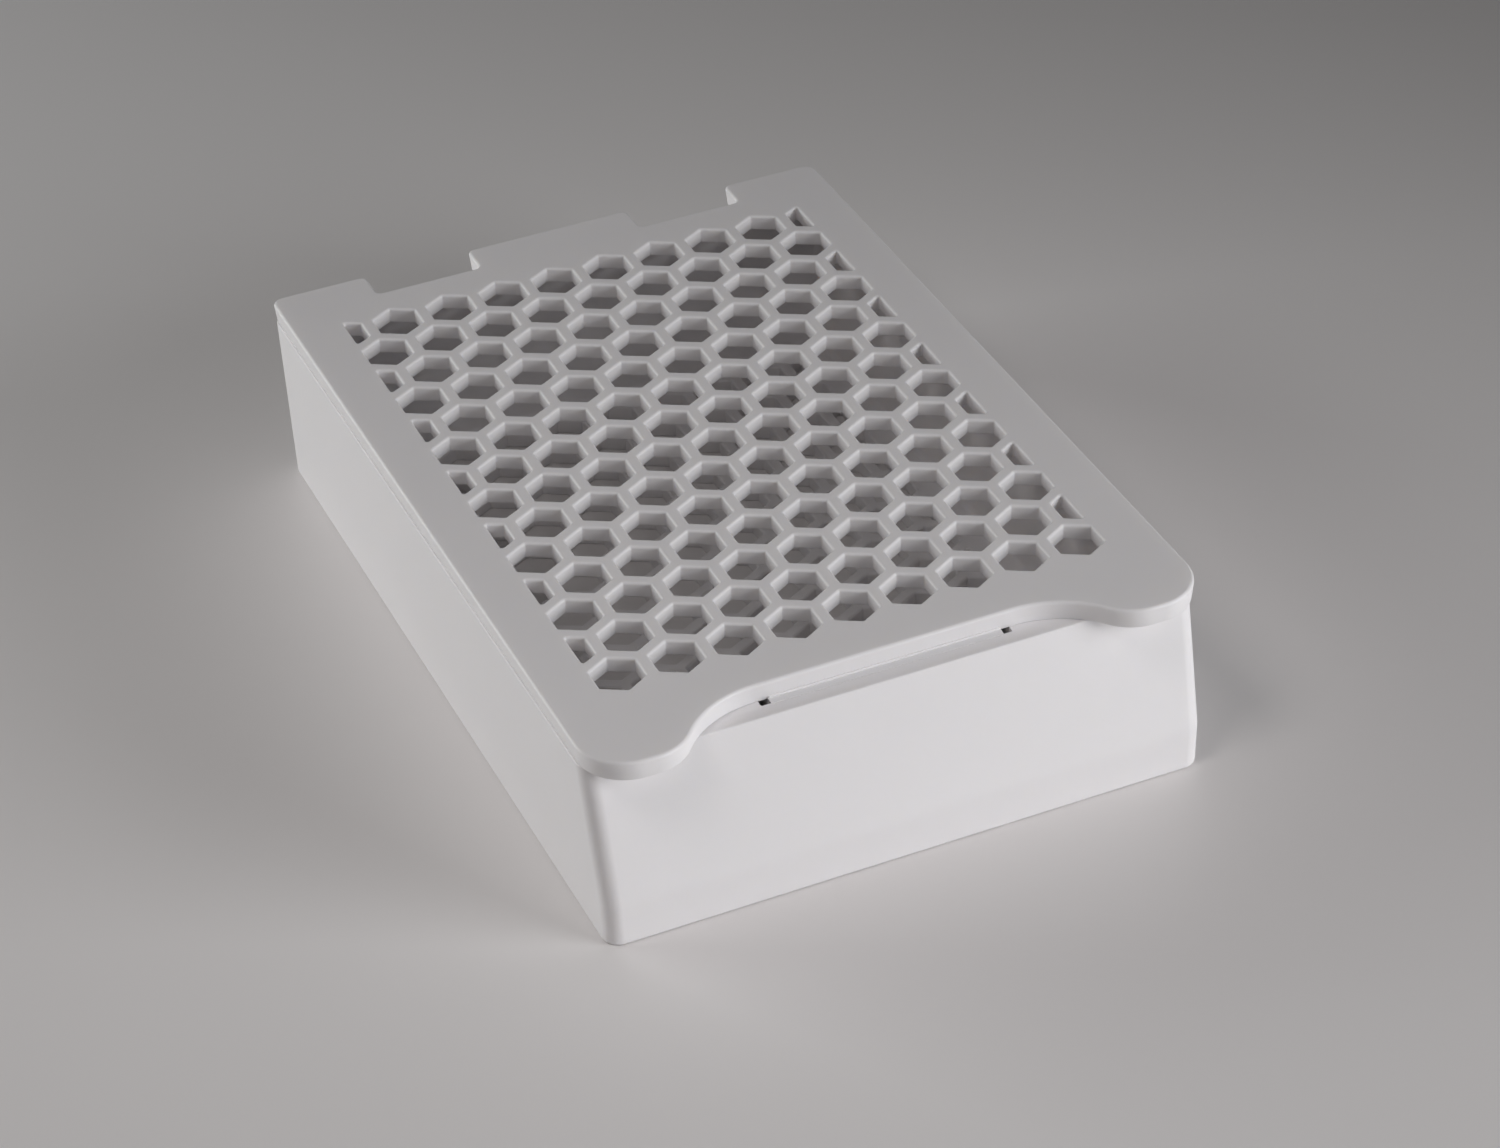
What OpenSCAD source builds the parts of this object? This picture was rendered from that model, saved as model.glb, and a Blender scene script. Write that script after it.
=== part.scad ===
// Large tissue cassette: a perforated base tray with a perforated lid that
// hooks round a rail at the rear and latches into a slot at the front.
// Frame: origin at the middle of the footprint, +Z up, sloping label face at -Y.

/* [Case] */
// Width of the closed case
case_w = 52.3; // [43:0.1:63]
// Length from the lid's front lobes to its rear tabs
case_l = 75; // [62:0.1:90]
// Height of the closed case
case_h = 17.5; // [14:0.1:22]
// Thickness of the side and rear walls
wall_t = 1.3; // [1:0.1:1.6]
// Thickness of the perforated floor
floor_t = 1.4; // [1:0.1:2]
// Lean of the outer walls, in degrees, so that the foot is narrower
wall_lean = 1.05; // [0:0.05:1.5]
// Radius of the upright corners
upright_r = 1.4; // [0.8:0.1:2]
// Radius of the chamber's upright corners
chamber_corner_r = 0.6; // [0.4:0.1:1.5]

/* [Label face] */
// Distance from the lobes' front to the label face's top edge
label_setback = 2.9; // [2.6:0.1:3.5]
// Distance from the lobes' front to the fold at the label face's foot
fold_setback = 0.3; // [0.2:0.1:0.8]
// Height of the fold above the bottom
fold_h = 3.9; // [2.5:0.1:4.7]
// Thickness of the ledge between the label face and the chamber
ledge_t = 1.4; // [1:0.1:1.8]
// Distance from the latch slot's ends to the ribs behind the label face
rib_clear = 2; // [1:0.1:3]
// Thickness of those ribs and of the webs at the hinge
rib_t = 1.2; // [0.8:0.1:1.6]

/* [Honeycomb] */
// Distance between neighbouring cells
cell_pitch = 4.95; // [4.4:0.05:6]
// Distance across the flats of one cell
cell_af = 3.86; // [3.2:0.01:4.1]
// Least border beside the cells
side_border = 4.2; // [3.8:0.1:5]
// Border between the lid's front edge and the first row of cells
front_border = 3.9; // [3.6:0.1:4.5]
// Least border between the last row of cells and the rear notches
rear_border = 2.6; // [2.2:0.1:3.2]
// Least distance from a cell to the chamber's rear wall
cell_clear = 0.5; // [0.3:0.1:1]

/* [Lid] */
// Thickness of the lid's edge band
band_t = 1.75; // [1.5:0.05:2.4]
// Thickness of the lid's perforated plate
plate_t = 1.4; // [1:0.05:1.5]
// Distance from the chamber's walls to the recess under the plate
recess_gap = 0.5; // [0.3:0.1:1]
// Depth of the scoop in the lid's front edge
scoop_depth = 4.75; // [4:0.05:5]
// Radius where the scoop runs into the straight front edge
scoop_r = 8.5; // [6:0.1:9]
// Radius of the lobe beside the scoop
lobe_r = 4.2; // [3.6:0.1:5]
// Distance from the lid's side to the foremost point of its lobe
lobe_inset = 5.2; // [5:0.1:5.8]
// Radius of the lid's front corners
front_corner_r = 4.2; // [3.6:0.1:5]
// Radius of the lid's rear corners
rear_corner_r = 1; // [0.5:0.1:1.6]
// Width of each side tab at the rear
side_tab_w = 8.8; // [8:0.1:9.6]
// Width of the middle tab at the rear
middle_tab_w = 15.4; // [10:0.1:17]
// Depth of the notches between the tabs
notch_depth = 3.25; // [3:0.05:3.5]

/* [Latch] */
// Width of the latch tongue
tongue_w = 19.9; // [14:0.1:21]
// Thickness of the latch tongue
tongue_t = 1.3; // [1:0.1:1.5]
// Length of the latch tongue below the lid's edge band
tongue_l = 3.2; // [2.8:0.1:4]
// How far the latch bead stands out of the tongue
bead_h = 0.35; // [0.2:0.05:0.35]
// How far the lip in front of the tongue covers the edge of its slot
lip_cover = 0.12; // [0.05:0.01:0.3]
// Height of that lip where it meets the lid's front edge
lip_h = 0.15; // [0.1:0.01:0.3]
// Clearance in front of the tongue
tongue_front_gap = 0.43; // [0.4:0.01:0.5]
// Clearance behind the tongue
tongue_back_gap = 0.3; // [0.2:0.05:0.4]
// Clearance at each end of the tongue
tongue_end_gap = 0.8; // [0.4:0.05:1]

/* [Hinge] */
// Radius of the quarter-round rail along the top of the rear wall
rail_r = 1.2; // [1:0.05:1.3]
// Running clearance between the rail and the hooks
rail_gap = 0.06; // [0.03:0.01:0.1]
// Thickness of the hooks round the rail
hook_t = 0.94; // [0.8:0.02:1]
// How far the hooks reach round the rail, in degrees
hook_reach = 82; // [60:1:84]
// Clearance round the turning hooks
hook_sweep_gap = 0.25; // [0.2:0.05:0.4]
// Clearance at each end of a hook
hook_end_gap = 0.4; // [0.3:0.05:0.6]
// How far the webs beside the hooks stand in from the ends of the tabs
web_inset = 0.6; // [0.3:0.1:1]
// How far the rear wall stops below the lid in the notches
notch_drop = 1.2; // [0.3:0.05:1.6]

/* [Hidden] */
$fn = 64;
eps = 0.01;
corner_fn = 48;

// Levels
band_z = case_h - band_t;
plate_z = case_h - plate_t;
ledge_z = band_z - ledge_t;
tongue_z = band_z - tongue_l;
notch_floor_z = band_z - notch_drop;

// Places along the width
half_w = case_w / 2;
lobe_x = half_w - lobe_inset;
side_tab_x = half_w - side_tab_w;
middle_tab_x = middle_tab_w / 2;
tongue_x = tongue_w / 2;
slot_x = tongue_x + tongue_end_gap;
rib_x = slot_x + rib_clear + rib_t / 2;

// Places along the length, front to rear
front_y = -case_l / 2;
rear_y = case_l / 2;
fold_y = front_y + fold_setback;
label_top_y = front_y + label_setback;
lid_front_y = front_y + scoop_depth;
slot_front_y = lid_front_y - tongue_front_gap;
lip_front_y = slot_front_y - lip_cover;
tongue_back_y = lid_front_y + tongue_t;
chamber_wall_y = tongue_back_y + tongue_back_gap;
chamber_front_y = chamber_wall_y + wall_t;
notch_y = rear_y - notch_depth;
hook_r = rail_r + rail_gap + hook_t;
bay_y = min(notch_y, rear_y - hook_r - hook_sweep_gap);
chamber_rear_y = bay_y - rib_t;

// Lean of the walls and slope of the label face, as shift per height
lean = tan(wall_lean);
label_slope = (label_top_y - fold_y) / (band_z - fold_h);

// Scoop: two arcs that meet where their slopes agree
scoop_turn = acos(1 - scoop_depth / (scoop_r + lobe_r));
scoop_run = (scoop_r + lobe_r) * sin(scoop_turn);
scoop_x = lobe_x - scoop_run;

// Honeycomb
cell_r = cell_af / 2 / cos(30);
row_pitch = cell_pitch * sin(60);
cell_columns = floor((case_w - 2 * side_border - cell_af) / cell_pitch) + 1;
first_row_y = lid_front_y + front_border + cell_r;
last_row_y_limit = min(notch_y - rear_border, chamber_rear_y - cell_clear) - cell_r;
cell_rows = floor((last_row_y_limit - first_row_y) / row_pitch) + 1;
field_x = (cell_columns - 1) / 2 * cell_pitch + cell_af / 2;

// Hinge webs and windows, in the half at +X
window_z = band_z - hook_r - 2 * hook_sweep_gap;
middle_web_x = middle_tab_x - web_inset;
side_web_x = side_tab_x + web_inset;
middle_window_x = middle_web_x - rib_t;
side_window_x = side_web_x + rib_t;
side_inner_x = half_w - wall_t - lean * band_z;
rear_wall_y = rear_y - lean * band_z - wall_t;

// ---------- outlines ----------

// Rectangle with rounded corners, by its two opposite corners
module rounded_rect(x0, y0, x1, y1, r) {
    translate([x0 + r, y0]) square([x1 - x0 - 2 * r, y1 - y0]);
    translate([x0, y0 + r]) square([x1 - x0, y1 - y0 - 2 * r]);
    for (x = [x0 + r, x1 - r], y = [y0 + r, y1 - r]) translate([x, y]) circle(r);
}

// Thin slice of a leaning box at height z, inset from the case's sides
module slice(z, y0, y1, inset, r) {
    side = half_w - lean * (band_z - z) - inset;
    translate([0, 0, z]) linear_extrude(eps)
        rounded_rect(-side, y0, side, y1, r, $fn = corner_fn);
}

// Rear face of the case at height z
function rear_face_y(z) = rear_y - lean * (band_z - z);

// ---------- base ----------

module base_block() hull() {
    slice(0, fold_y + lean * fold_h, rear_face_y(0), 0, upright_r);
    slice(fold_h, fold_y, rear_face_y(fold_h), 0, upright_r);
    slice(band_z - eps, label_top_y, rear_face_y(band_z), 0, upright_r);
}

module chamber_hollow() hull() {
    slice(floor_t, chamber_front_y + lean * (band_z - floor_t),
          chamber_rear_y - lean * (band_z - floor_t), wall_t, chamber_corner_r);
    slice(band_z, chamber_front_y, chamber_rear_y, wall_t, chamber_corner_r);
}

// Hollow behind the label face, open below
module label_hollow() difference() {
    rotate([90, 0, 90]) translate([0, 0, -half_w + wall_t + lean * band_z])
        linear_extrude(case_w - 2 * wall_t - 2 * lean * band_z)
        polygon([
            [chamber_wall_y, -1],
            [chamber_wall_y, ledge_z],
            [label_top_y - label_slope * ledge_t + wall_t, ledge_z],
            [fold_y + wall_t, fold_h],
            [fold_y + wall_t + lean * fold_h, -1]
        ]);
    for (x = [-rib_x, rib_x])
        translate([x - rib_t / 2, front_y, -2]) cube([rib_t, case_l / 2, case_h + 2]);
}

// Pocket between the chamber and the rear wall, open below, from x0 to x1
module pocket(x0, x1, top_z)
    translate([x0, bay_y, -1]) cube([x1 - x0, rear_wall_y - bay_y, top_z + 1]);

// Pocket for a hook: open above, and through the rear wall below its rail
module hook_pocket(x0, x1) difference() {
    union() {
        pocket(x0, x1, case_h);
        translate([x0, bay_y, window_z]) cube([x1 - x0, case_l, case_h]);
    }
    translate([x0, rear_y, band_z]) rotate([0, 90, 0]) cylinder(r = rail_r, h = x1 - x0);
}

// Three pockets for hooks, and between them two that have a roof
module hinge_pockets() {
    hook_pocket(-middle_window_x, middle_window_x);
    hook_pocket(side_window_x, side_inner_x);
    hook_pocket(-side_inner_x, -side_window_x);
    pocket(middle_web_x, side_web_x, notch_floor_z - ledge_t);
    pocket(-side_web_x, -middle_web_x, notch_floor_z - ledge_t);
}

// The rear wall stops short of the lid in the lid's notches
module notch_clearance()
    for (x = [middle_web_x, -side_web_x])
        translate([x, bay_y, notch_floor_z]) cube([side_web_x - middle_web_x, case_l, case_h]);

module latch_slot()
    translate([-slot_x, slot_front_y, ledge_z - 1])
        cube([2 * slot_x, chamber_wall_y - slot_front_y, ledge_t + 2]);

module base() color("white") difference() {
    base_block();
    chamber_hollow();
    label_hollow();
    hinge_pockets();
    notch_clearance();
    latch_slot();
    honeycomb(-1, floor_t + 1);
}

// ---------- honeycomb ----------

// All the cells between two heights, as solids to cut with
module honeycomb(z0, z1) {
    for (row = [0 : cell_rows - 1]) {
        shifted = row % 2;
        y = first_row_y + row * row_pitch;
        columns = cell_columns - shifted;
        for (column = [0 : columns - 1])
            translate([(column - (columns - 1) / 2) * cell_pitch, y, z0]) cell(z1 - z0);
        if (shifted)
            for (side = [-1, 1]) translate([0, y, z0]) part_cell(side, z1 - z0);
    }
}

module cell(h) rotate([0, 0, 30]) cylinder(r = cell_r, h = h, $fn = 6);

// Cell at the end of a shifted row, cut off level with the rows beside it
module part_cell(side, h) {
    centre_x = cell_columns / 2 * cell_pitch;
    inner_x = centre_x - cell_af / 2;
    half_inner = cell_r / 2;
    half_outer = cell_r - (centre_x - field_x) * tan(30);
    linear_extrude(h) polygon([
        [side * inner_x, -half_inner], [side * field_x, -half_outer],
        [side * field_x, half_outer], [side * inner_x, half_inner]
    ]);
}

// ---------- lid ----------

function arc(centre, r, start, end, steps = 12) = [
    for (i = [0 : steps])
        let (a = start + (end - start) * i / steps)
        centre + r * [cos(a), sin(a)]
];

// Right half of the lid's plan, from the scooped front edge to the middle tab
function lid_half() = concat(
    arc([scoop_x, lid_front_y - scoop_r], scoop_r, 90, 90 - scoop_turn),
    arc([lobe_x, front_y + lobe_r], lobe_r, 270 - scoop_turn, 270),
    arc([half_w - front_corner_r, front_y + front_corner_r], front_corner_r, 270, 360),
    arc([half_w - rear_corner_r, rear_y - rear_corner_r], rear_corner_r, 0, 90, 6),
    [[side_tab_x, rear_y], [side_tab_x, notch_y], [middle_tab_x, notch_y], [middle_tab_x, rear_y]]
);

module lid_outline() {
    half = lid_half();
    last = len(half) - 1;
    polygon(concat(half, [for (i = [last : -1 : 0]) [-half[i][0], half[i][1]]]));
}

// Hook from the lid's underside down and back round the rail, whose centre is
// the lid's rear bottom edge
module hook(x0, x1) {
    span = 2 * hook_r;
    translate([x0, rear_y, band_z]) rotate([90, 0, 90]) linear_extrude(x1 - x0) intersection() {
        difference() {
            circle(hook_r);
            circle(rail_r + rail_gap);
        }
        polygon([
            [0, 0], [0, eps], [-span, eps], [-span, -span], [-span / tan(hook_reach), -span]
        ]);
    }
}

// Lip over the gap in front of the tongue
module latch_lip()
    translate([-tongue_x, 0, band_z]) rotate([90, 0, 90]) linear_extrude(tongue_w) polygon([
        [lip_front_y, 0], [lid_front_y + eps, 0],
        [lid_front_y + eps, lip_h], [lid_front_y, lip_h], [lip_front_y, 0.4 * lip_h]
    ]);

module latch_tongue() {
    translate([-tongue_x, lid_front_y, tongue_z])
        cube([tongue_w, tongue_t, tongue_l + eps]);
    bead_r = tongue_t / 2;
    translate([-tongue_x, lid_front_y + bead_r - bead_h, ledge_z - bead_r])
        rotate([0, 90, 0]) cylinder(r = bead_r, h = tongue_w);
}

// Recess under the perforated plate
module plate_recess()
    translate([-half_w + wall_t + recess_gap, chamber_front_y + recess_gap, band_z - 1])
        cube([case_w - 2 * wall_t - 2 * recess_gap,
              chamber_rear_y - chamber_front_y - 2 * recess_gap, plate_z - band_z + 1]);

module lid() color("white") difference() {
    union() {
        difference() {
            translate([0, 0, band_z]) linear_extrude(band_t) lid_outline();
            plate_recess();
        }
        hook(-middle_window_x + hook_end_gap, middle_window_x - hook_end_gap);
        hook(side_window_x + hook_end_gap, side_inner_x - hook_end_gap);
        hook(-side_inner_x + hook_end_gap, -side_window_x - hook_end_gap);
        latch_tongue();
        latch_lip();
    }
    honeycomb(band_z - 1, case_h + 1);
}

base();
lid();
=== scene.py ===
"""Large tissue cassette: a white moulded tray and the honeycomb lid that closes it.

Shapes are worked out in millimetres, with +Z up and the sloping label face at -Y, and put_piece
turns them into metres. A shape is its points, and blocks of faces that index them.
"""

import math

import bpy
import numpy as np
from mathutils import Matrix, Vector


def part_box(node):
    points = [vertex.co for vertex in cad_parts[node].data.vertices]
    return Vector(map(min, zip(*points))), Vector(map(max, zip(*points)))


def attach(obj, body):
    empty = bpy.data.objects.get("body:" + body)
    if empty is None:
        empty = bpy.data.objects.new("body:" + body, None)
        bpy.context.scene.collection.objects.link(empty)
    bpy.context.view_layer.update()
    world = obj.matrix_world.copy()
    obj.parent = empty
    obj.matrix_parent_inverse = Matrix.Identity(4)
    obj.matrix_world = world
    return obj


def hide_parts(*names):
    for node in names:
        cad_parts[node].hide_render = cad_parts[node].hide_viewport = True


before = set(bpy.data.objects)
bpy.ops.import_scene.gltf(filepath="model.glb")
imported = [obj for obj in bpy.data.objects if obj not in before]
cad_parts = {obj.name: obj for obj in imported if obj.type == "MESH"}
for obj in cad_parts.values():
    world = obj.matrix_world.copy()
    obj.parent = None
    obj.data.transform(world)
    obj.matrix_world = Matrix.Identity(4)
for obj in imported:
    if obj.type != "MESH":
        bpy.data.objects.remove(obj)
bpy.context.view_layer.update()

MM = 0.001

# Places taken from the frame
tray_low, tray_high = (np.array(corner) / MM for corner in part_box("base"))
lid_low, lid_high = (np.array(corner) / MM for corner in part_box("lid"))
HALF_W = lid_high[0]
FRONT_Y, REAR_Y = lid_low[1], lid_high[1]
TOP_Z, SEAM_Z, TONGUE_Z = lid_high[2], tray_high[2], lid_low[2]
FOLD_Y = tray_low[1]

# Walls
WALL = 1.3
FLOOR = 1.4
LEAN = math.tan(math.radians(1.05))
UPRIGHT_R = 1.4

# Label face, which a fold divides from the foot, and the hollow behind it
LABEL_TOP_Y = FRONT_Y + 2.9
FOLD_Z = 3.9
FOLD_RINGS = (-0.5, -0.2, 0.2, 0.5)
LABEL_SLOPE = (LABEL_TOP_Y - FOLD_Y) / (SEAM_Z - FOLD_Z)
HOLLOW_CORNER_R = 0.4
HOLLOW_FOLD_R = 1.0
LEDGE = 1.4
RIB = 1.2

# Lid
PLATE = 1.4
SCOOP_DEPTH = 4.75
SCOOP_R = 8.5
LOBE_R = 4.2
LOBE_X = HALF_W - 5.2
FRONT_CORNER_R = 4.2
REAR_CORNER_R = 1.0
TAB_CORNER_R = 0.6
NOTCH_CORNER_R = 0.5
SIDE_TAB_X = HALF_W - 8.8
MIDDLE_TAB_X = 7.7
NOTCH_Y = REAR_Y - 3.25
SCOOP_Y = FRONT_Y + SCOOP_DEPTH
RECESS_GAP = 0.5
RECESS_CORNER_R = 0.8

# Latch
TONGUE_X = 9.95
TONGUE = 1.3
TONGUE_FOOT_R = 0.3
TONGUE_EDGE_R = 0.15
BEAD_H = 0.35
SLOT_SIDE_GAP = 0.8
SLOT_FRONT_GAP = 0.43
SLOT_REAR_GAP = 0.3
SLOT_X = TONGUE_X + SLOT_SIDE_GAP
SLOT_FRONT_Y = SCOOP_Y - SLOT_FRONT_GAP
SLOT_CORNER_R = 0.1
LIP_OVERLAP = 0.12
LIP_Y = SLOT_FRONT_Y - LIP_OVERLAP
LIP_H = 0.15
LIP_FOOT_H = 0.06
RIB_X = SLOT_X + 2.0

# Chamber, whose corners are rounder at its mouth than at its floor
CHAMBER_R = 0.8
CHAMBER_R_LOSS = 0.9
CHAMBER_WALL_Y = SCOOP_Y + TONGUE + SLOT_REAR_GAP
CHAMBER_FRONT_Y = CHAMBER_WALL_Y + WALL
CHAMBER_REAR_Y = NOTCH_Y - RIB

# Hinge
RAIL_R = 1.2
HOOK_GAP = 0.06
HOOK = 0.94
HOOK_INNER_R = RAIL_R + HOOK_GAP
HOOK_R = HOOK_INNER_R + HOOK
HOOK_EDGE_R = 0.12
HOOK_REACH = 82
HOOK_END_GAP = 0.4
WEB_INSET = 0.6
NOTCH_FLOOR_Z = SEAM_Z - 1.2
WINDOW_Z = SEAM_Z - HOOK_R - 0.5
MIDDLE_WEB_X = MIDDLE_TAB_X - WEB_INSET
SIDE_WEB_X = SIDE_TAB_X + WEB_INSET
SIDE_INNER_X = HALF_W - WALL - LEAN * SEAM_Z
REAR_WALL_Y = REAR_Y - LEAN * SEAM_Z - WALL

# Honeycomb
PITCH = 4.95
ROW_PITCH = PITCH * math.sin(math.radians(60))
CELL_APOTHEM = 1.93
CELL_R = CELL_APOTHEM / math.cos(math.radians(30))
CELL_ROWS = 14
CELL_COLUMNS = 9
FRONT_STRIP = 3.9
FIRST_ROW_Y = SCOOP_Y + FRONT_STRIP + CELL_R
FIELD_X = (CELL_COLUMNS - 1) / 2 * PITCH + CELL_APOTHEM

# Roundings of the mouldings' edges, and where the lid's edge stands in below
TOP_EDGE_R = 0.28
UNDER_EDGE_R = 0.04
BAND_DRAFT = 0.15
RIM_EDGE_R = 0.12
SLOT_EDGE_R = 0.05
FOOT_R = 0.3
FLOOR_FILLET_R = 0.6
CELL_CORNER_R = 0.16
CELL_EDGE_R = 0.23
CELL_UNDER_R = 0.12
CUT_CORNER_R = 0.2
SMOOTH_ANGLE = 35

# How far a cut runs past the faces it opens, and an addition into what it joins
PAST = 1.0
SINK = 0.3

# White plastic: depths in millimetres, and scales of its patterns in repeats a metre
PLASTIC_COLOUR = (0.87, 0.85, 0.855)
TRAY_ROUGHNESS = 0.48
LID_ROUGHNESS = 0.46
ROUGHNESS_SPREAD = 0.1
TONE_SPREAD = 0.03
GRAIN_SCALE = 6500
DRIFT_SCALE = 60
GRAIN_STRENGTH = 0.15
GRAIN_DEPTH = 0.02
PLASTIC_IOR = 1.48

# The share of the light that enters the plastic, how deep, and how far of that red, green and blue go
LIGHT_SHARE = 0.3
LIGHT_DEPTH = 1.0
LIGHT_REACH = (1.0, 0.95, 0.85)

# Surface that the tray stands on, its reach in millimetres, and the light on it
STAGE_REACH = 2500
STAGE_COLOUR = (0.82, 0.797, 0.789)
STAGE_ROUGHNESS = 0.45
WORLD_COLOUR = (1.0, 0.97, 0.96)
WORLD_STRENGTH = 0.04
FRONT_LAMP_COLOUR = (0.97, 0.98, 1.0)
LEFT_LAMP_COLOUR = (0.98, 1.0, 1.0)
TOP_LAMP_COLOUR = (1.0, 0.96, 0.95)

# Camera: places and clipping in metres, lens in millimetres, roll in degrees
CAMERA_PLACE = (-0.10655, -0.25993, 0.20392)
CAMERA_AIM = (-0.00078, -0.0083, 0.009)
CAMERA_ROLL = -2.27
CAMERA_LENS = 97.44
CAMERA_CLIP = (0.01, 20)


# ---------- paths and profiles, both as rows of two numbers ----------


def arc(x, y, r, start, end, steps=5):
    """Points on a circle round (x, y): (x + r cos a, y + r sin a), with a from start to end degrees."""
    a = np.radians(np.linspace(start, end, steps + 1))
    return np.stack([x + r * np.cos(a), y + r * np.sin(a)], axis=1)


def rounded_box(x0, y0, x1, y1, r, steps=5):
    """Anticlockwise rectangle whose corners are quarter circles of radius r."""
    return np.concatenate([
        arc(x1 - r, y0 + r, r, -90, 0, steps),
        arc(x1 - r, y1 - r, r, 0, 90, steps),
        arc(x0 + r, y1 - r, r, 90, 180, steps),
        arc(x0 + r, y0 + r, r, 180, 270, steps),
    ])


def rounded_corners(corners, radii, steps=4):
    """Anticlockwise polygon with an arc at each corner, tangent to both edges.

    At a corner whose edges turn by angle t, the arc of radius r starts r tan(t / 2) before it.
    """
    corners = np.asarray(corners, float)
    path = []
    for here, before, after, r in zip(corners, np.roll(corners, 1, 0), np.roll(corners, -1, 0), radii):
        into = (here - before) / np.linalg.norm(here - before)
        out = (after - here) / np.linalg.norm(after - here)
        turn = math.atan2(into[0] * out[1] - into[1] * out[0], into @ out)
        start = here - into * r * math.tan(abs(turn) / 2)
        side = math.copysign(1, turn)
        centre = start + side * r * np.array([-into[1], into[0]])
        first = math.degrees(math.atan2(*(start - centre)[::-1]))
        path.append(arc(*centre, r, first, first + math.degrees(turn), steps))
    return np.concatenate(path)


def hexagon(apothem, corner_r, steps=3):
    """Hexagon with points at +Y and -Y, each of its six corners an arc of radius corner_r."""
    centre_r = (apothem - corner_r) / math.cos(math.radians(30))
    return np.concatenate([
        arc(centre_r * math.cos(math.radians(a)), centre_r * math.sin(math.radians(a)),
            corner_r, a - 30, a + 30, steps)
        for a in range(30, 390, 60)
    ])


def band_profile(low, high, low_r, high_r, draft=0.0):
    """Outer edge of a plate: a quarter circle of low_r below, set in by draft, and of high_r above."""
    return np.concatenate([
        arc(-draft - low_r, low + low_r, low_r, -90, 0, 3),
        arc(-high_r, high - high_r, high_r, 0, 90),
    ])


def hole_profile(low, high, low_r, high_r):
    """Side of a hole that runs out past both faces, flaring by the radius at each mouth."""
    return np.concatenate([
        [[low_r, low - PAST]], arc(low_r, low + low_r, low_r, 270, 180, 3),
        arc(high_r, high - high_r, high_r, 180, 90), [[high_r, high + PAST]],
    ])


# ---------- solids ----------


def loft(rings):
    """Closed solid through rings[level, step, xyz], with quads between levels and flat ends."""
    levels, steps = rings.shape[:2]
    at = np.arange(levels * steps).reshape(levels, steps)
    here, along = at[:-1], np.roll(at, -1, axis=1)
    sides = np.stack([here, along[:-1], along[1:], at[1:]], axis=2).reshape(-1, 4)
    return rings.reshape(-1, 3), [sides, at[:1, ::-1], at[-1:]]


def outward(path):
    """Mitre at each point: the sum of its two edges' outward normals over 1 plus their product."""
    edge = np.roll(path, -1, axis=0) - path
    normal = np.stack([edge[:, 1], -edge[:, 0]], axis=1) / np.linalg.norm(edge, axis=1, keepdims=True)
    before = np.roll(normal, 1, axis=0)
    return (normal + before) / (1 + (normal * before).sum(axis=1, keepdims=True))


def sweep(path, profile):
    """Profile carried round a path: a point is path + mitre times offset, at the profile's height."""
    rings = path[None] + outward(path)[None] * profile[:, None, :1]
    heights = np.broadcast_to(profile[:, None, 1:], (*rings.shape[:2], 1))
    return loft(np.concatenate([rings, heights], axis=2))


def prism(path, low, high):
    """Path carried straight up from low to high."""
    return sweep(path, np.array([[0, low], [0, high]], float))


def along_x(shape):
    """Turns a shape drawn in Y and Z, with its height along X, into its place."""
    points, blocks = shape
    return points[:, [2, 0, 1]], blocks


def mirror_x(shape):
    """The shape's mirror image across X = 0, with its faces turned round again."""
    points, blocks = shape
    return points * [-1, 1, 1], [block[:, ::-1] for block in blocks]


def both_sides(shape):
    """The shape and its mirror image."""
    return [shape, mirror_x(shape)]


def merged(shapes):
    """Several shapes as one: their points in a row, and each face's numbers moved on to match."""
    starts = np.cumsum([0] + [len(points) for points, _ in shapes])
    blocks = [block + start for (_, part), start in zip(shapes, starts) for block in part]
    return np.concatenate([points for points, _ in shapes]), blocks


def copies(shape, places):
    """The shape at each of places, as one: a point is the shape's own plus the place."""
    points, blocks = shape
    count = len(places)
    all_points = (points[None] + np.asarray(places)[:, None]).reshape(-1, 3)
    shifts = np.arange(count)[:, None, None] * len(points)
    return all_points, [(block[None] + shifts).reshape(-1, block.shape[1]) for block in blocks]


def honeycomb(profile):
    """Every cell of the honeycomb as a solid to cut with, its side following the profile.

    Rows are ROW_PITCH apart. Odd rows are shifted by half a pitch, and end in cut cells at FIELD_X.
    """
    rows = np.arange(CELL_ROWS)
    places = [
        [(column - (CELL_COLUMNS - 1 - row % 2) / 2) * PITCH, FIRST_ROW_Y + row * ROW_PITCH, 0]
        for row in rows
        for column in range(CELL_COLUMNS - row % 2)
    ]
    whole = copies(sweep(hexagon(CELL_APOTHEM, CELL_CORNER_R), profile), places)
    centre_x = CELL_COLUMNS / 2 * PITCH
    inner_x = centre_x - CELL_APOTHEM
    outer_y = CELL_R - (centre_x - FIELD_X) * math.tan(math.radians(30))
    cut = rounded_corners(
        [[inner_x, -CELL_R / 2], [FIELD_X, -outer_y], [FIELD_X, outer_y], [inner_x, CELL_R / 2]],
        [CELL_CORNER_R] * 4, 3,
    )
    ends = [[0, FIRST_ROW_Y + row * ROW_PITCH, 0] for row in rows[1::2]]
    return merged([whole] + both_sides(copies(sweep(cut, profile), ends)))


# ---------- the lid ----------


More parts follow.
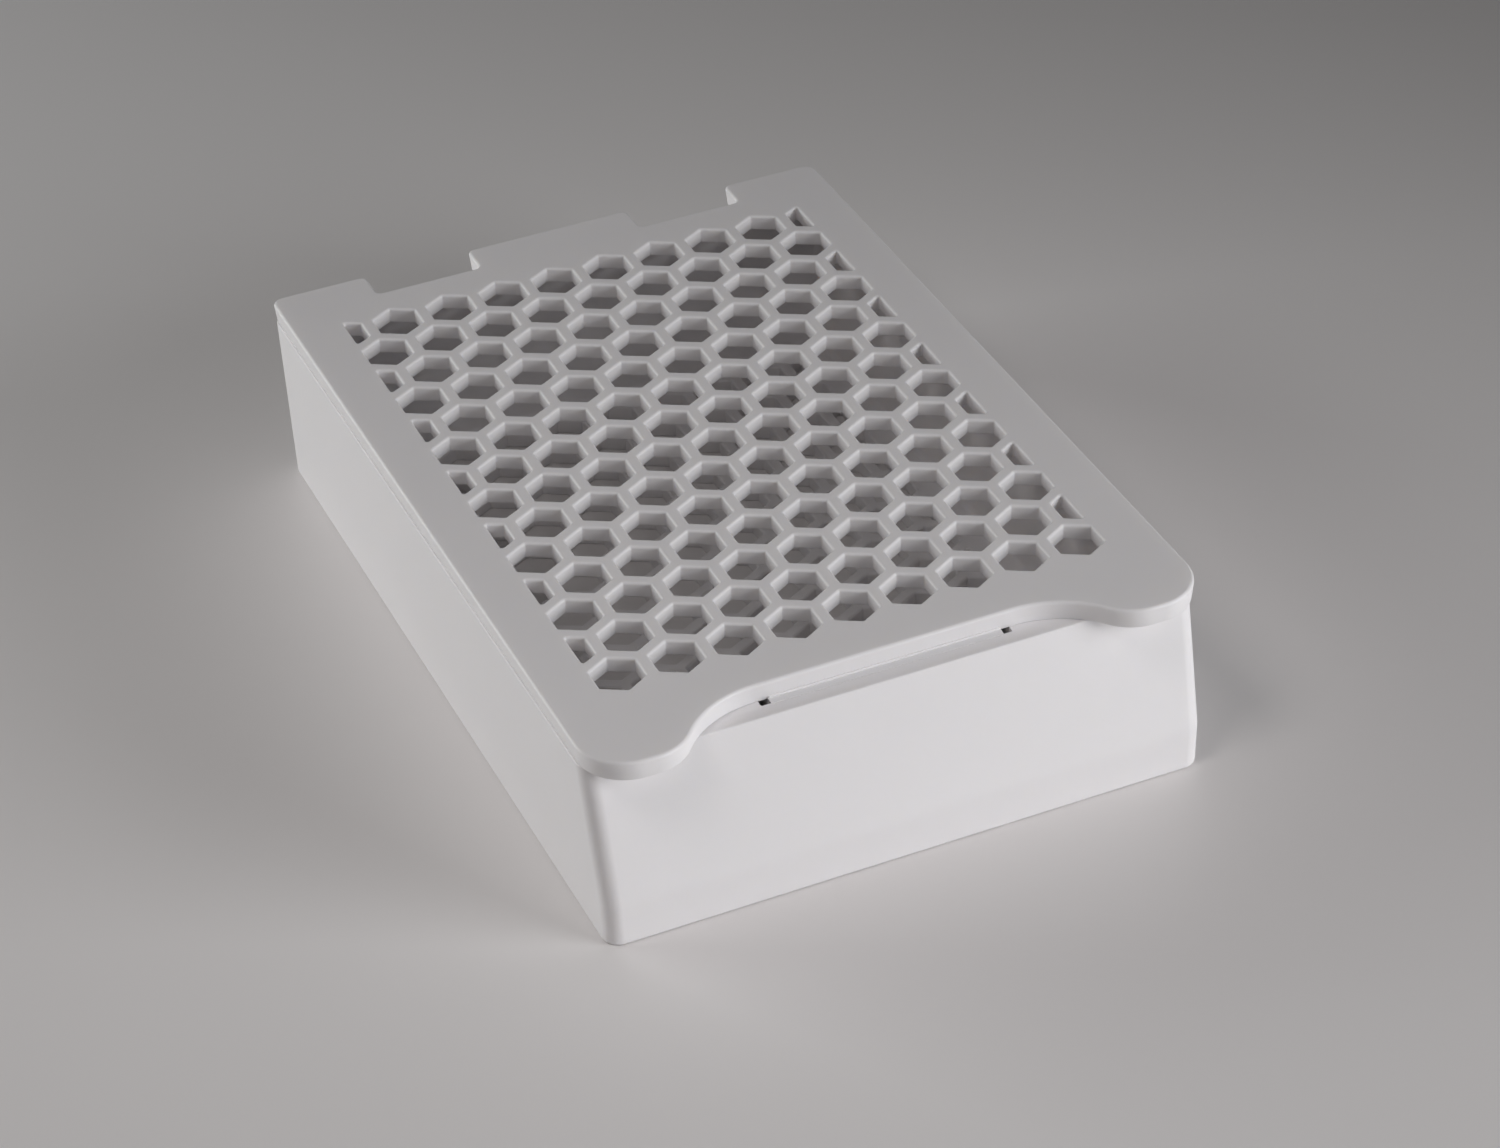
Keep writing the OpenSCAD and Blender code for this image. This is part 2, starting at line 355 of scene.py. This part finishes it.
def lid_path():
    """Lid's outline: scoop and lobe as two arcs that meet where their slopes agree, then the tabs.

    The tabs' first corner and last two only close their polygon, so their points are left out.
    """
    turn = math.degrees(math.acos(1 - SCOOP_DEPTH / (SCOOP_R + LOBE_R)))
    scoop_x = LOBE_X - (SCOOP_R + LOBE_R) * math.sin(math.radians(turn))
    steps = 4
    tabs = rounded_corners(
        [[HALF_W, 0], [HALF_W, REAR_Y], [SIDE_TAB_X, REAR_Y], [SIDE_TAB_X, NOTCH_Y],
         [MIDDLE_TAB_X, NOTCH_Y], [MIDDLE_TAB_X, REAR_Y], [0, REAR_Y], [0, 0]],
        [0, REAR_CORNER_R, TAB_CORNER_R, NOTCH_CORNER_R, NOTCH_CORNER_R, TAB_CORNER_R, 0, 0],
        steps,
    )[steps + 1:-2 * (steps + 1)]
    half = np.concatenate([
        arc(scoop_x, SCOOP_Y - SCOOP_R, SCOOP_R, 90, 90 - turn, 16),
        arc(LOBE_X, FRONT_Y + LOBE_R, LOBE_R, 270 - turn, 270, 16)[1:],
        arc(HALF_W - FRONT_CORNER_R, FRONT_Y + FRONT_CORNER_R, FRONT_CORNER_R, 270, 360, 20),
        tabs,
    ])
    return np.concatenate([half, half[::-1] * [-1, 1]])


def hook(x0, x1):
    """Hook round the rail: an arc of section from the lid's underside, HOOK_REACH degrees round."""
    end = 180 + HOOK_REACH
    root = [[REAR_Y - HOOK_INNER_R, SEAM_Z + SINK], [REAR_Y - HOOK_R, SEAM_Z + SINK]]
    path = np.concatenate([
        arc(REAR_Y, SEAM_Z, HOOK_R, 180, end, 14),
        arc(REAR_Y, SEAM_Z, HOOK_INNER_R, end, 180, 14),
        root,
    ])
    return along_x(sweep(path, band_profile(x0, x1, HOOK_EDGE_R, HOOK_EDGE_R)))


def latch_tongue():
    """Tongue under the lid's front edge, with a round bead along its front near the foot."""
    bead_r = TONGUE / 2
    bead_z = SEAM_Z - LEDGE - bead_r
    bead_end = math.degrees(math.acos((BEAD_H - bead_r) / bead_r))
    swell = arc(SCOOP_Y + bead_r - BEAD_H, bead_z, bead_r, bead_end, 360 - bead_end, 10)
    foot_z = TONGUE_Z + TONGUE_FOOT_R
    path = np.concatenate([
        [[SCOOP_Y, SEAM_Z + SINK]],
        swell,
        arc(SCOOP_Y + TONGUE_FOOT_R, foot_z, TONGUE_FOOT_R, 180, 270, 3),
        arc(SCOOP_Y + TONGUE - TONGUE_FOOT_R, foot_z, TONGUE_FOOT_R, 270, 360, 3),
        [[SCOOP_Y + TONGUE, SEAM_Z + SINK]],
    ])
    return along_x(sweep(path, band_profile(-TONGUE_X, TONGUE_X, TONGUE_EDGE_R, TONGUE_EDGE_R)))


def latch_lip():
    """Small lip that runs out from the foot of the lid's front edge over the gap before the tongue."""
    path = np.array([
        [SCOOP_Y + SINK, SEAM_Z + LIP_H],
        [SCOOP_Y + BAND_DRAFT, SEAM_Z + LIP_H],
        [LIP_Y, SEAM_Z + LIP_FOOT_H],
        [LIP_Y, SEAM_Z],
        [SCOOP_Y + SINK, SEAM_Z],
    ])
    return along_x(prism(path, -TONGUE_X, TONGUE_X))


def lid_shapes():
    """The lid's body, what is cut from it, and what is added under it."""
    body = sweep(lid_path(), band_profile(SEAM_Z, TOP_Z, UNDER_EDGE_R, TOP_EDGE_R, BAND_DRAFT))
    recess_x = HALF_W - WALL - RECESS_GAP
    recess = prism(
        rounded_box(-recess_x, CHAMBER_FRONT_Y + RECESS_GAP, recess_x, CHAMBER_REAR_Y - RECESS_GAP,
                    RECESS_CORNER_R),
        SEAM_Z - PAST, TOP_Z - PLATE,
    )
    cells = honeycomb(hole_profile(TOP_Z - PLATE, TOP_Z, CELL_UNDER_R, CELL_EDGE_R))
    middle_x = MIDDLE_WEB_X - RIB - HOOK_END_GAP
    side_hook = hook(SIDE_WEB_X + RIB + HOOK_END_GAP, SIDE_INNER_X - HOOK_END_GAP)
    hooks = merged([hook(-middle_x, middle_x)] + both_sides(side_hook))
    return body, [recess, cells], [hooks, latch_tongue(), latch_lip()]


# ---------- the tray ----------


def tray_ring(z, inset):
    """Tray's plan at height z, set in by inset: a rounded box whose rear and sides lean in below.

    Its front is on the label face's slope above the fold, and on the foot's lean below it.
    """
    side = HALF_W - LEAN * (SEAM_Z - z) - inset
    front = FOLD_Y + (LABEL_SLOPE * (z - FOLD_Z) if z > FOLD_Z else LEAN * (FOLD_Z - z)) + inset
    rear = REAR_Y - LEAN * (SEAM_Z - z) - inset
    ring = rounded_box(-side, front, side, rear, UPRIGHT_R - inset, 8)
    return np.column_stack([ring, np.full(len(ring), z)])


def tray_body():
    """Outside of the tray: tray_ring at the foot's rounding, round the fold and at the rim's rounding."""
    foot = arc(FOOT_R, FOOT_R, FOOT_R, 270, 180, 4)
    rim = arc(RIM_EDGE_R, SEAM_Z - RIM_EDGE_R, RIM_EDGE_R, 180, 90, 4)
    fold = [[0, FOLD_Z + step] for step in FOLD_RINGS]
    levels = np.concatenate([foot, fold, rim])
    return loft(np.stack([tray_ring(z, inset) for inset, z in levels]))


def chamber():
    """Inside of the tray: walls that lean in below, a fillet at the floor, a rounded mouth.

    Each level is a rounded box, set in by its inset and by the lean, with corners that tighten.
    """
    fillet = arc(FLOOR_FILLET_R, FLOOR + FLOOR_FILLET_R, FLOOR_FILLET_R, 270, 180)
    mouth = arc(-RIM_EDGE_R, SEAM_Z - RIM_EDGE_R, RIM_EDGE_R, 0, 90, 4)
    levels = np.concatenate([fillet, mouth, [[-RIM_EDGE_R, SEAM_Z + PAST]]])

    def ring(inset, z):
        shift = LEAN * (SEAM_Z - z) + inset
        side = HALF_W - WALL - shift
        corner_r = CHAMBER_R - inset * CHAMBER_R_LOSS
        plan = rounded_box(-side, CHAMBER_FRONT_Y + shift, side, CHAMBER_REAR_Y - shift, corner_r)
        return np.column_stack([plan, np.full(len(plan), z)])

    return loft(np.stack([ring(inset, z) for inset, z in levels]))


def label_hollows():
    """Three hollows behind the label face, open below, with two ribs left between them."""
    roof_z = SEAM_Z - LEDGE
    path = rounded_corners(
        [[CHAMBER_WALL_Y, -PAST],
         [CHAMBER_WALL_Y, roof_z],
         [LABEL_TOP_Y - LABEL_SLOPE * LEDGE + WALL, roof_z],
         [FOLD_Y + WALL, FOLD_Z],
         [FOLD_Y + WALL + LEAN * FOLD_Z, -PAST]],
        [CUT_CORNER_R, HOLLOW_CORNER_R, HOLLOW_CORNER_R, HOLLOW_FOLD_R, CUT_CORNER_R],
    )
    middle = along_x(prism(path, -RIB_X, RIB_X))
    side = along_x(prism(path, RIB_X + RIB, SIDE_INNER_X))
    return merged([middle] + both_sides(side))


def latch_slot():
    """Slot through the ledge: a rounded box carried up, with a rounded mouth."""
    path = rounded_box(-SLOT_X, SLOT_FRONT_Y, SLOT_X, CHAMBER_WALL_Y, SLOT_CORNER_R, 3)
    mouth = arc(SLOT_EDGE_R, SEAM_Z - SLOT_EDGE_R, SLOT_EDGE_R, 180, 90, 4)
    return sweep(path, np.concatenate([
        [[0, SEAM_Z - LEDGE - PAST / 2]],
        mouth,
        [[SLOT_EDGE_R, SEAM_Z + PAST]],
    ]))


def upright(x0, y0, x1, y1, low, high):
    """Upright box to cut with, its four corners a little rounded."""
    return prism(rounded_box(x0, y0, x1, y1, CUT_CORNER_R, 3), low, high)


def opening(x0, x1, low):
    """Opening to cut through the rear wall, from low up, its lower corners a little rounded."""
    path = rounded_box(NOTCH_Y, low, REAR_Y + PAST, SEAM_Z + PAST, CUT_CORNER_R, 3)
    return along_x(prism(path, x0, x1))


def hook_pocket(x0, x1):
    """Pocket for a hook, open below and above, and its window through the rear wall."""
    return [
        upright(x0, NOTCH_Y, x1, REAR_WALL_Y, -PAST, SEAM_Z + PAST),
        opening(x0, x1, WINDOW_Z),
    ]


def rail(x0, x1):
    """Quarter-round rail along the rear wall's top edge."""
    edge = arc(REAR_Y - RIM_EDGE_R, SEAM_Z - RIM_EDGE_R, RIM_EDGE_R, 0, 90, 4)
    path = np.concatenate([arc(REAR_Y, SEAM_Z, RAIL_R, 180, 270, 10), edge])
    return along_x(prism(path, x0 - SINK, x1 + SINK))


def tray_shapes():
    """The tray's body, what is cut from it, and what is added."""
    middle_x, side_x = MIDDLE_WEB_X - RIB, SIDE_WEB_X + RIB
    roofed = upright(MIDDLE_WEB_X, NOTCH_Y, SIDE_WEB_X, REAR_WALL_Y, -PAST, NOTCH_FLOOR_Z - LEDGE)
    notch = opening(MIDDLE_WEB_X, SIDE_WEB_X, NOTCH_FLOOR_Z)
    cells = honeycomb(hole_profile(0, FLOOR, CELL_UNDER_R, CELL_EDGE_R))
    cuts = [chamber(), cells, label_hollows(), latch_slot(), *hook_pocket(-middle_x, middle_x)]
    for shape in [roofed, notch, *hook_pocket(side_x, SIDE_INNER_X)]:
        cuts += both_sides(shape)
    rails = merged([rail(-middle_x, middle_x)] + both_sides(rail(side_x, SIDE_INNER_X)))
    return tray_body(), cuts, [rails]


# ---------- from shapes to pieces ----------


def put_object(name, shape):
    """A Blender object with the shape's mesh, in metres."""
    points, blocks = shape
    mesh = bpy.data.meshes.new(name)
    mesh.from_pydata((points * MM).tolist(), [], [face for block in blocks for face in block.tolist()])
    piece = bpy.data.objects.new(name, mesh)
    bpy.context.scene.collection.objects.link(piece)
    return piece


def settled(piece):
    """Replaces the piece's mesh by what its modifiers make of it, and clears them."""
    graph = bpy.context.evaluated_depsgraph_get()
    mesh = bpy.data.meshes.new_from_object(piece.evaluated_get(graph))
    mesh.name = piece.name
    piece.modifiers.clear()
    piece.data = mesh


def put_piece(name, body, cuts, additions):
    """One moulding: the body less the cuts, with the additions joined on.

    Edges that turn by less than SMOOTH_ANGLE degrees are shaded smooth, and large faces stay flat.
    """
    piece = put_object(name, body)
    for operation, shapes in (("DIFFERENCE", cuts), ("UNION", additions)):
        for shape in shapes:
            tool = put_object("tool", shape)
            boolean = piece.modifiers.new("join", "BOOLEAN")
            boolean.operation, boolean.solver, boolean.object = operation, "MANIFOLD", tool
            settled(piece)
            bpy.data.objects.remove(tool)
    piece.data.shade_smooth()
    piece.data.set_sharp_from_angle(angle=math.radians(SMOOTH_ANGLE))
    normals = piece.modifiers.new("even_shading", "WEIGHTED_NORMAL")
    normals.keep_sharp = True
    settled(piece)
    return piece


# ---------- finish ----------


def grain_group():
    """Fine grain of a moulded surface, with slow variation of its roughness and tone."""
    group = bpy.data.node_groups.new("moulded_grain", "ShaderNodeTree")
    sockets = group.interface
    for name in ("Roughness", "Roughness Spread", "Tone Spread"):
        sockets.new_socket(name, in_out="INPUT", socket_type="NodeSocketFloat")
    sockets.new_socket("Color", in_out="INPUT", socket_type="NodeSocketColor")
    sockets.new_socket("Color", in_out="OUTPUT", socket_type="NodeSocketColor")
    for name in ("Roughness", "Height"):
        sockets.new_socket(name, in_out="OUTPUT", socket_type="NodeSocketFloat")
    nodes, links = group.nodes, group.links
    inputs, outputs = nodes.new("NodeGroupInput"), nodes.new("NodeGroupOutput")
    place = nodes.new("ShaderNodeTexCoord")

    def noise(scale, detail):
        """Noise from 0 to 1 in the piece's own metres."""
        texture = nodes.new("ShaderNodeTexNoise")
        texture.inputs["Scale"].default_value = scale
        texture.inputs["Detail"].default_value = detail
        links.new(place.outputs["Object"], texture.inputs["Vector"])
        return texture.outputs["Fac"]

    def spread(value, middle, amount):
        """middle + (value - 0.5) times amount"""
        centred, scaled = nodes.new("ShaderNodeMath"), nodes.new("ShaderNodeMath")
        centred.operation, scaled.operation = "SUBTRACT", "MULTIPLY_ADD"
        links.new(value, centred.inputs[0])
        centred.inputs[1].default_value = 0.5
        links.new(centred.outputs[0], scaled.inputs[0])
        links.new(amount, scaled.inputs[1])
        if isinstance(middle, float):
            scaled.inputs[2].default_value = middle
        else:
            links.new(middle, scaled.inputs[2])
        return scaled.outputs[0]

    drift = noise(DRIFT_SCALE, 3)
    roughness = spread(drift, inputs.outputs["Roughness"], inputs.outputs["Roughness Spread"])
    tone = nodes.new("ShaderNodeHueSaturation")
    links.new(inputs.outputs["Color"], tone.inputs["Color"])
    links.new(spread(drift, 1.0, inputs.outputs["Tone Spread"]), tone.inputs["Value"])
    links.new(tone.outputs["Color"], outputs.inputs["Color"])
    links.new(roughness, outputs.inputs["Roughness"])
    links.new(noise(GRAIN_SCALE, 2), outputs.inputs["Height"])
    return group


def white_plastic(name, group, roughness):
    """Satin moulded plastic that lets a little light in."""
    material = bpy.data.materials.new(name)
    material.use_nodes = True
    nodes, links = material.node_tree.nodes, material.node_tree.links
    surface = nodes["Principled BSDF"]
    grain = nodes.new("ShaderNodeGroup")
    grain.node_tree = group
    grain.inputs["Color"].default_value = (*PLASTIC_COLOUR, 1)
    grain.inputs["Roughness"].default_value = roughness
    grain.inputs["Roughness Spread"].default_value = ROUGHNESS_SPREAD
    grain.inputs["Tone Spread"].default_value = TONE_SPREAD
    links.new(grain.outputs["Color"], surface.inputs["Base Color"])
    links.new(grain.outputs["Roughness"], surface.inputs["Roughness"])
    bump = nodes.new("ShaderNodeBump")
    bump.inputs["Strength"].default_value = GRAIN_STRENGTH
    bump.inputs["Distance"].default_value = GRAIN_DEPTH * MM
    links.new(grain.outputs["Height"], bump.inputs["Height"])
    links.new(bump.outputs["Normal"], surface.inputs["Normal"])
    surface.inputs["IOR"].default_value = PLASTIC_IOR
    surface.inputs["Subsurface Weight"].default_value = LIGHT_SHARE
    surface.inputs["Subsurface Radius"].default_value = LIGHT_REACH
    surface.inputs["Subsurface Scale"].default_value = LIGHT_DEPTH * MM
    return material


def floor_finish():
    """Plain pale satin surface."""
    material = bpy.data.materials.new("pale_floor")
    material.use_nodes = True
    surface = material.node_tree.nodes["Principled BSDF"]
    surface.inputs["Base Color"].default_value = (*STAGE_COLOUR, 1)
    surface.inputs["Roughness"].default_value = STAGE_ROUGHNESS
    return material


# ---------- stage ----------


def put_floor():
    """Wide flat floor under the tray: one square that reaches STAGE_REACH each way."""
    corners = STAGE_REACH * np.array([[-1, -1, 0], [1, -1, 0], [1, 1, 0], [-1, 1, 0]], float)
    floor = put_object("floor", (corners, [np.array([[0, 1, 2, 3]])]))
    floor.data.materials.append(floor_finish())


def turned_to(place, aim, roll=0.0):
    """Matrix of a lamp or camera at place that looks at aim, in metres, rolled by roll degrees."""
    look = (Vector(aim) - Vector(place)).to_track_quat("-Z", "Y").to_matrix().to_4x4()
    return Matrix.Translation(place) @ look @ Matrix.Rotation(math.radians(roll), 4, "Z")


def put_softbox(name, azimuth, height, distance, size, power, colour, spread, aim):
    """Square soft lamp that faces aim.

    It is at distance times (cos height cos azimuth, cos height sin azimuth, sin height).
    """
    azimuth, height = math.radians(azimuth), math.radians(height)
    place = distance * Vector((
        math.cos(height) * math.cos(azimuth),
        math.cos(height) * math.sin(azimuth),
        math.sin(height),
    ))
    data = bpy.data.lights.new(name, "AREA")
    data.shape = "SQUARE"
    data.size = size
    data.energy = power
    data.spread = math.radians(spread)
    data.color = colour
    lamp = bpy.data.objects.new(name, data)
    lamp.matrix_world = turned_to(place, aim)
    lamp.visible_camera = False
    bpy.context.scene.collection.objects.link(lamp)


def put_camera():
    """Camera before and left of the tray, looking down on it."""
    data = bpy.data.cameras.new("camera")
    data.lens = CAMERA_LENS
    data.clip_start, data.clip_end = CAMERA_CLIP
    camera = bpy.data.objects.new("camera", data)
    camera.matrix_world = turned_to(CAMERA_PLACE, CAMERA_AIM, CAMERA_ROLL)
    bpy.context.scene.collection.objects.link(camera)
    bpy.context.scene.camera = camera


def put_world():
    """Faint even light from all round."""
    world = bpy.data.worlds.new("studio")
    world.use_nodes = True
    sky = world.node_tree.nodes["Background"]
    sky.inputs["Color"].default_value = (*WORLD_COLOUR, 1)
    sky.inputs["Strength"].default_value = WORLD_STRENGTH
    bpy.context.scene.world = world


put_camera()
put_floor()
put_world()
put_softbox("front_right_lamp", azimuth=-50, height=15, distance=0.35, size=0.2, power=0.166,
            colour=FRONT_LAMP_COLOUR, spread=70, aim=(-0.01, -0.05, 0))
put_softbox("left_lamp", azimuth=142, height=14, distance=0.35, size=0.2, power=0.6,
            colour=LEFT_LAMP_COLOUR, spread=180, aim=(0, 0, 0.008))
put_softbox("top_lamp", azimuth=-155, height=60, distance=0.4, size=0.12, power=0.035,
            colour=TOP_LAMP_COLOUR, spread=60, aim=(-0.02, -0.05, 0))
bpy.context.scene.view_settings.view_transform = "Standard"

grain = grain_group()
for piece_name, body_name, shapes, roughness in (
    ("tray", "base", tray_shapes(), TRAY_ROUGHNESS),
    ("honeycomb_lid", "lid", lid_shapes(), LID_ROUGHNESS),
):
    piece = put_piece(piece_name, *shapes)
    piece.data.materials.clear()
    piece.data.materials.append(white_plastic(piece_name + "_plastic", grain, roughness))
    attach(piece, body_name)
    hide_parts(body_name)
